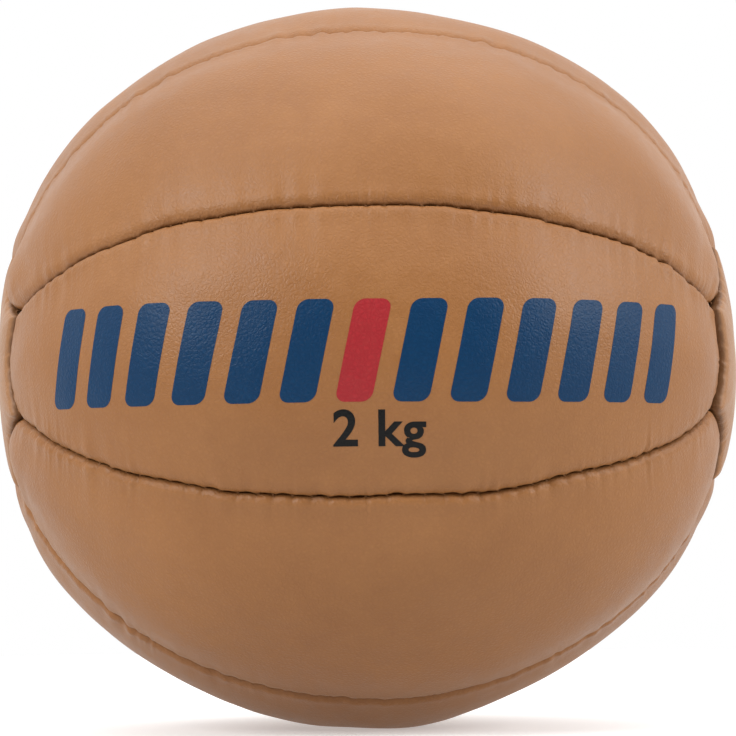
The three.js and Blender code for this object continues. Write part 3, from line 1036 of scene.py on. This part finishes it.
class Look:
    """A node material under construction. Its methods return sockets."""

    def __init__(self, name, roughness, specular, sheen=0.0):
        self.material = bpy.data.materials.new(name)
        self.material.use_nodes = True
        self.tree = self.material.node_tree
        self.shader = self.tree.nodes["Principled BSDF"]
        self.shader.inputs["Roughness"].default_value = roughness
        self.shader.inputs["Specular IOR Level"].default_value = specular
        self.shader.inputs["Sheen Weight"].default_value = sheen
        self.place = self.tree.nodes.new("ShaderNodeTexCoord").outputs["Object"]

    def node(self, kind, inputs=(), **settings):
        return node(self.tree, kind, inputs, **settings)

    def stretched(self, scale):
        """The object's coordinates stretched by a scale along each axis."""
        return self.node("ShaderNodeMapping", {"Vector": self.place, "Scale": scale}).outputs[0]

    def noise(self, size, detail=2.0, roughness=0.5, distortion=0.0, place=None):
        """Noise whose features measure about that many millimetres."""
        inputs = {"Vector": place or self.place, "Scale": 1 / (size * MM), "Detail": detail}
        inputs |= {"Roughness": roughness, "Distortion": distortion}
        return self.node("ShaderNodeTexNoise", inputs).outputs["Fac"]

    def cells(self, size, feature="F1", place=None):
        inputs = {"Vector": place or self.place, "Scale": 1 / (size * MM)}
        return self.node("ShaderNodeTexVoronoi", inputs, feature=feature).outputs["Distance"]

    def ranged(self, value, low, high, to_low, to_high):
        inputs = {"Value": value, "From Min": low, "From Max": high, "To Min": to_low, "To Max": to_high}
        return self.node("ShaderNodeMapRange", inputs).outputs[0]

    def sum(self, *parts):
        """Weighted sockets added up: each part is a socket and its weight."""
        total = 0.0
        for socket, weight in parts:
            inputs = {0: socket, 1: weight, 2: total}
            total = self.node("ShaderNodeMath", inputs, operation="MULTIPLY_ADD").outputs[0]
        return total

    def product(self, first, second):
        return self.node("ShaderNodeMath", {0: first, 1: second}, operation="MULTIPLY").outputs[0]

    def mixed(self, share, first, second):
        """A mix of two colours; each is a socket, or red, green and blue."""
        ends = [c if isinstance(c, bpy.types.NodeSocket) else (*c, 1.0) for c in (first, second)]
        inputs = {0: share, 6: ends[0], 7: ends[1]}
        return self.node("ShaderNodeMix", inputs, data_type="RGBA").outputs[2]

    def scaled(self, colour, factor):
        """A colour made lighter or darker by a factor."""
        return self.node("ShaderNodeVectorMath", {0: colour, "Scale": factor}, operation="SCALE").outputs[0]

    def paint(self, colour, *heights):
        """Links the colour and the bumps; each bump is a height and its depth in millimetres."""
        self.tree.links.new(colour, self.shader.inputs["Base Color"])
        bump_before = {}
        for height, depth in heights:
            inputs = {"Height": height, "Distance": depth * MM, "Strength": 1.0}
            bump_before = {"Normal": self.node("ShaderNodeBump", inputs | bump_before).outputs[0]}
        if bump_before:
            self.tree.links.new(bump_before["Normal"], self.shader.inputs["Normal"])
        return self.material


GRAIN = {"wander": 2.2, "straying": 1.3, "cells": 1.45, "small_cells": 0.85}  # sizes in millimetres
GRAIN_DEPTHS = (0.12, 0.06, 0.025)  # of the soft unevenness, the cells and the small cells


def leather_grain(look):
    """Leather's bumps: soft unevenness, then large and small rounded cells between fine grooves."""
    wander_inputs = {"Vector": look.place, "Scale": 1 / (GRAIN["wander"] * MM), "Detail": 2.0}
    wander = look.node("ShaderNodeTexNoise", wander_inputs).outputs["Color"]
    strayed = {0: wander, 1: (GRAIN["straying"] * MM,) * 3, 2: look.place}
    place = look.node("ShaderNodeVectorMath", strayed, operation="MULTIPLY_ADD").outputs[0]
    large = look.ranged(look.cells(GRAIN["cells"], "DISTANCE_TO_EDGE", place), 0.0, 0.35, 0.0, 1.0)
    small = look.ranged(look.cells(GRAIN["small_cells"], "DISTANCE_TO_EDGE", place), 0.0, 0.3, 0.0, 1.0)
    soft = look.noise(5.5, 3, 0.5, 0.8)
    return list(zip((soft, large, small), GRAIN_DEPTHS, strict=True))


def leather_look(name, light, dark, wrinkling):
    """Leather, a little mottled, with painted shade darkening its colour in the creases at its seams, and
    finely wrinkled beside its seams.
    """
    look = Look(name, 0.42, 0.36)
    distance = look.node("ShaderNodeAttribute", attribute_name="seam_distance").outputs["Fac"]
    clouds = look.noise(45, 3, 0.6)
    mottle = look.noise(7, 4, 0.6, 0.6)
    fine = look.noise(0.9, 3, 0.6)
    grain = leather_grain(look)
    cells = grain[1][0]
    share = look.sum((clouds, 0.6), (mottle, 0.4))
    colour = look.mixed(look.ranged(share, 0.3, 0.7, 0, 1), dark, light)
    shade = look.product(look.ranged(fine, 0.3, 0.7, 0.97, 1.03), look.ranged(cells, 0.0, 1.0, 0.95, 1.01))
    # painted shade: the colour darkens to 0.6 of itself within 0.9 mm of a seam, where the crease lies in
    # shade
    shade = look.product(shade, look.ranged(distance, 0.0, 0.9, 0.6, 1.0))
    roughness = look.sum((look.ranged(mottle, 0.3, 0.7, 0.35, 0.45), 1.0), (fine, 0.05))
    look.tree.links.new(roughness, look.shader.inputs["Roughness"])
    near_seam = look.ranged(distance, 0.0, 7.0, 1.0, 0.0)
    wrinkles = look.product(look.noise(2.4, 3, 0.6, 1.5), near_seam)
    return look.paint(look.scaled(colour, shade), *grain, (wrinkles, wrinkling))


def thread_look(name, light, dark, size):
    look = Look(name, 0.75, 0.12)
    twist = look.noise(size, 2, 0.5, 0.0, look.stretched((0.35, 1, 1)))
    return look.paint(look.mixed(twist, dark, light), (twist, 0.15))


def woven_look(name, light, dark, pitch):
    look = Look(name, 0.9, 0.15, sheen=0.3)
    yarns = []
    for axis, weight in (("X", 0.4), ("Y", 0.3), ("Z", 0.3)):
        inputs = {"Vector": look.place, "Scale": 1 / (pitch * MM) / 3.2, "Distortion": 0.4, "Detail": 1.0}
        wave = look.node("ShaderNodeTexWave", inputs, bands_direction=axis)
        yarns.append((wave.outputs["Fac"], weight))
    weave = look.sum(*yarns)
    share = look.sum((weave, 0.7), (look.noise(12, 3, 0.6), 0.3))
    return look.paint(look.mixed(share, dark, light), (weave, 0.2))


def fibre_look(name, light, dark, tint):
    look = Look(name, 1.0, 0.1, sheen=0.4)
    strands = look.noise(2.0, 6, 0.7, 2.5, look.stretched((1, 0.3, 1)))
    flecks = look.ranged(look.cells(5.0), 0.1, 0.35, 0.5, 0.0)
    colour = look.mixed(flecks, look.mixed(strands, dark, light), tint)
    return look.paint(colour, (strands, 0.8))


def ink_look(name, colour, worn):
    """Ink that takes the leather's grain, a little worn."""
    look = Look(name, 0.42, 0.22)
    fine = look.noise(0.9, 3, 0.6)
    mottle = look.noise(5, 4, 0.6)
    grain = leather_grain(look)
    share = look.ranged(look.sum((fine, 0.6), (mottle, 0.4)), 0.45, 0.75, 0.0, 0.45)
    shade = look.ranged(grain[1][0], 0.0, 1.0, 0.9, 1.03)
    return look.paint(look.scaled(look.mixed(share, colour, worn), shade), *grain)


# Each slot's kind of look and its light and dark colour, or for ink its own and its worn colour, all
# linear. Then the depth of leather's wrinkles, a weave's pitch, a thread's twist, or fibre's tint.
SLOTS = {
    "gore_leather": (leather_look, (0.345, 0.147, 0.046), (0.295, 0.12, 0.036), 0.35),
    "cap_leather": (leather_look, (0.38, 0.184, 0.078), (0.33, 0.154, 0.062), 0.1),
    "lining_cotton": (woven_look, (0.72, 0.66, 0.52), (0.5, 0.44, 0.33), 0.7),
    "bag_canvas": (woven_look, (0.6, 0.53, 0.38), (0.38, 0.32, 0.21), 1.1),
    "waxed_thread": (thread_look, (0.26, 0.12, 0.05), (0.1, 0.042, 0.017), 0.5),
    "bag_thread": (thread_look, (0.8, 0.76, 0.66), (0.5, 0.46, 0.38), 0.5),
    "textile_fibre": (fibre_look, (0.42, 0.4, 0.36), (0.16, 0.16, 0.17), (0.2, 0.24, 0.34)),
    "print_blue": (ink_look, (0.001, 0.033, 0.096), (0.003, 0.048, 0.12)),
    "print_red": (ink_look, (0.36, 0.022, 0.028), (0.38, 0.045, 0.04)),
    "print_black": (ink_look, (0.002, 0.002, 0.002), (0.006, 0.005, 0.005)),
}
LOOKS = {name: made_look(name, *values) for name, (made_look, *values) in SLOTS.items()}


def finished(piece, slot, *nodes):
    """Gives a piece its material and its slot, and puts it in place of its CAD nodes."""
    piece.data.materials.append(LOOKS[slot])
    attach(piece, "root")
    if nodes:
        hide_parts(*nodes)
    return piece


# -------------------- the ball

for number, where in enumerate(PLACES):
    padded_gore = finished(gore_leather(number), "gore_leather", f"gore_{where}")
    finished(gore_lining(number), "lining_cotton", f"lining_{where}")
    finished(seam_thread(number), "waxed_thread", f"seam_thread_{number + 1}")

for where, facing in SIDES.items():
    padded_cap = finished(cap_leather(where, facing), "cap_leather", f"end_cap_{where}")
    finished(cap_lining(where, facing), "lining_cotton", f"cap_lining_{where}")
    finished(cap_thread(where, facing), "waxed_thread", f"cap_thread_{where}")
    finished(bag_half(where, facing), "bag_canvas", f"inner_bag_{where}")

finished(bag_thread(), "bag_thread", "bag_seam_thread")
finished(filling(), "textile_fibre", "fibre_fill")

finished(printed("print_bars_blue", flat_shape(bars(lambda n: n != 0)), 0.0, 0.0), "print_blue")
finished(printed("print_bar_red", flat_shape(bars(lambda n: n == 0)), 0.0, 0.0), "print_red")
weight_shape = flat_text(WEIGHT_MARK, WEIGHT_HEIGHT)
finished(printed("print_weight", weight_shape, WEIGHT_ASIDE, -WEIGHT_DROP), "print_black")

# -------------------- the studio

CENTRE = Vector((0, 0, CENTRE_HEIGHT)) * MM
AMBIENT_FRONT = 0.06
AMBIENT_BACK = 1.15
FLOOR_RINGS = (0.2, 0.5, 0.75)
FLOOR_SIDES = 96
FLOOR_LIT_TONE = 0.45  # for the light that the floor sends back
FLOOR_SEEN_TONE = 0.8  # for the camera
FLOOR_GLOW = 0.37
LIGHT_DISTANCE = 1.5
CAMERA_DISTANCE = 1.44
CAMERA_LENS = 210.65
CAMERA_ANGLES = (0.65, -1.85, -0.53)  # azimuth, elevation and roll, in degrees


def floor():
    """A wide round floor at the ball's lowest point."""
    turns = np.linspace(0, 2 * math.pi, FLOOR_SIDES, endpoint=False)
    circle = np.stack([np.cos(turns), np.sin(turns), 0 * turns], -1)
    rings = [radius * circle for radius in FLOOR_RINGS]
    points = np.concatenate([np.zeros((1, 3)), *rings]) + np.array([0, 0, CAD_LOW.z])
    loops = [np.arange(FLOOR_SIDES) + 1 + FLOOR_SIDES * k for k in range(len(FLOOR_RINGS))]
    fan = [(0, int(a), int(b)) for a, b in zip(loops[0], np.roll(loops[0], -1), strict=True)]
    quads = np.concatenate([strip(a, b)[:, ::-1] for a, b in zip(loops, loops[1:], strict=False)])
    mesh = bpy.data.meshes.new("studio_floor")
    mesh.from_pydata(points.tolist(), [], fan + quads.tolist())
    obj = linked("studio_floor", mesh)
    look = Look("studio_floor", 0.9, 0.0)
    seen = look.node("ShaderNodeLightPath").outputs["Is Camera Ray"]
    look.paint(look.mixed(seen, (FLOOR_LIT_TONE,) * 3, (FLOOR_SEEN_TONE,) * 3))
    look.shader.inputs["Emission Color"].default_value = (1, 1, 1, 1)
    look.shader.inputs["Emission Strength"].default_value = FLOOR_GLOW
    obj.data.materials.append(look.material)


def softbox(name, direction, size, power):
    """A square light that faces the ball from a direction."""
    light = bpy.data.lights.new(name, "AREA")
    light.size = size
    light.energy = power
    obj = linked(name, light)
    away = Vector(direction).normalized()
    obj.location = CENTRE + away * LIGHT_DISTANCE
    obj.rotation_euler = away.to_track_quat("Z", "Y").to_euler()


def camera():
    """The camera looks at the ball's centre from nearly straight in front, and is rolled a little."""
    azimuth, elevation, roll = (math.radians(degrees) for degrees in CAMERA_ANGLES)
    data = bpy.data.cameras.new("camera")
    data.lens = CAMERA_LENS
    obj = linked("camera", data)
    level = math.cos(elevation)
    away = Vector((math.sin(azimuth) * level, -math.cos(azimuth) * level, math.sin(elevation)))
    obj.location = CENTRE + away * CAMERA_DISTANCE
    facing = away.to_track_quat("Z", "Y").to_matrix()
    obj.rotation_euler = (facing @ Matrix.Rotation(roll, 3, "Z")).to_euler()
    bpy.context.scene.camera = obj


def world():
    """White where the camera looks past the floor. The light it gives is bright behind the ball only."""
    made = bpy.data.worlds.new("studio")
    made.use_nodes = True
    tree = made.node_tree
    towards = node(tree, "ShaderNodeTexCoord").outputs["Generated"]
    depth = node(tree, "ShaderNodeSeparateXYZ", {0: towards}).outputs["Y"]
    rise = {"Value": depth, "From Min": -0.7, "From Max": 0.7}
    rise |= {"To Min": AMBIENT_FRONT, "To Max": AMBIENT_BACK}
    ambient = node(tree, "ShaderNodeMapRange", rise, interpolation_type="SMOOTHSTEP").outputs[0]
    seen = node(tree, "ShaderNodeLightPath").outputs["Is Camera Ray"]
    strength = node(tree, "ShaderNodeMapRange", {"Value": seen, "To Min": ambient, "To Max": 1.0})
    background = tree.nodes["Background"]
    background.inputs["Color"].default_value = (1, 1, 1, 1)
    tree.links.new(strength.outputs[0], background.inputs["Strength"])
    bpy.context.scene.world = made


floor()
softbox("overhead", (0.0, -0.2, 1.0), 2.6, 26)
softbox("left", (-0.669, -0.574, 0.472), 0.7, 13)
softbox("right", (0.834, -0.338, 0.435), 0.8, 13)
camera()
world()
bpy.context.scene.view_settings.view_transform = "Standard"
